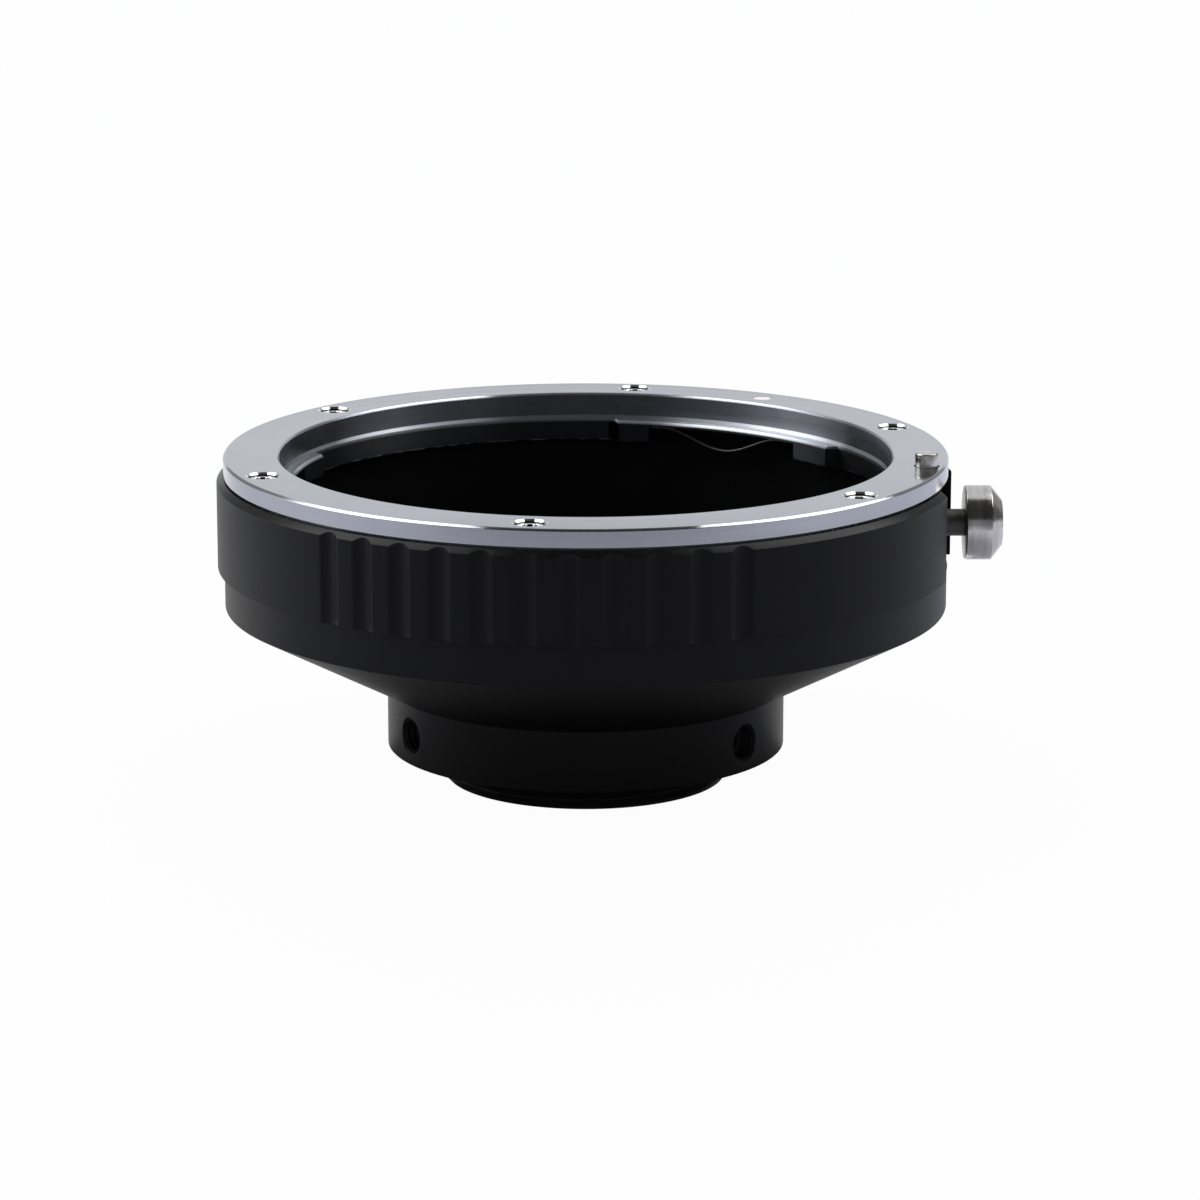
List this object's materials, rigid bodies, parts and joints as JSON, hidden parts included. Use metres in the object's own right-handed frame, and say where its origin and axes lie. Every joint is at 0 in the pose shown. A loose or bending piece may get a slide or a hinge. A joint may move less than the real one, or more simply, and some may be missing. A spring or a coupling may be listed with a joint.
{
  "type": "lens mount adapter",
  "caption": "Lens mount adapter: black fluted barrel tapering to a clamped screw-mount nose, with a satin chromed bayonet ring, sprung lock pin and release knob.",
  "frame": {"origin": "on the optical axis, in the plane of the camera-side mounting shoulder", "axes": "+Z along the optical axis towards the lens, +X towards the release knob"},
  "size_m": [0.0697, 0.0654, 0.0307],
  "materials": {
    "body_black": "black anodised, fine turning marks",
    "ring_chrome": "satin chrome on brass",
    "spring_steel": "spring steel",
    "screw_steel": "bright steel",
    "dot_enamel": "pale enamel",
    "slider_brass": "machined brass",
    "lock_steel": "turned stainless steel",
    "insert_black": "black anodised thread",
    "set_screw_black": "blackened steel"
  },
  "bodies": {
    "housing": {"body": "body_black", "bayonet_ring": "ring_chrome", "leaf_spring_1": "spring_steel", "leaf_spring_2": "spring_steel", "leaf_spring_3": "spring_steel", "flange_screws": "screw_steel", "index_dot": "dot_enamel", "lock_spring": "spring_steel", "set_screws": "set_screw_black"},
    "lock": {"lock_slider": "slider_brass", "lock_pin": "lock_steel", "lock_knob": "lock_steel"},
    "camera_ring": {"c_mount_ring": "insert_black"}
  },
  "joints": [
    {"name": "lock_release", "type": "slide", "parent": "housing", "child": "lock", "axis": [0, 0, -1], "range_m": [0, 0.0015], "stiffness_N_per_m": 300, "springref_m": -0.002, "deforming": ["lock_spring"]},
    {"name": "camera_ring_turn", "type": "hinge", "parent": "housing", "child": "camera_ring", "pos_m": [0, 0, 0], "axis": [0, 0, 1], "continuous": true}
  ]
}
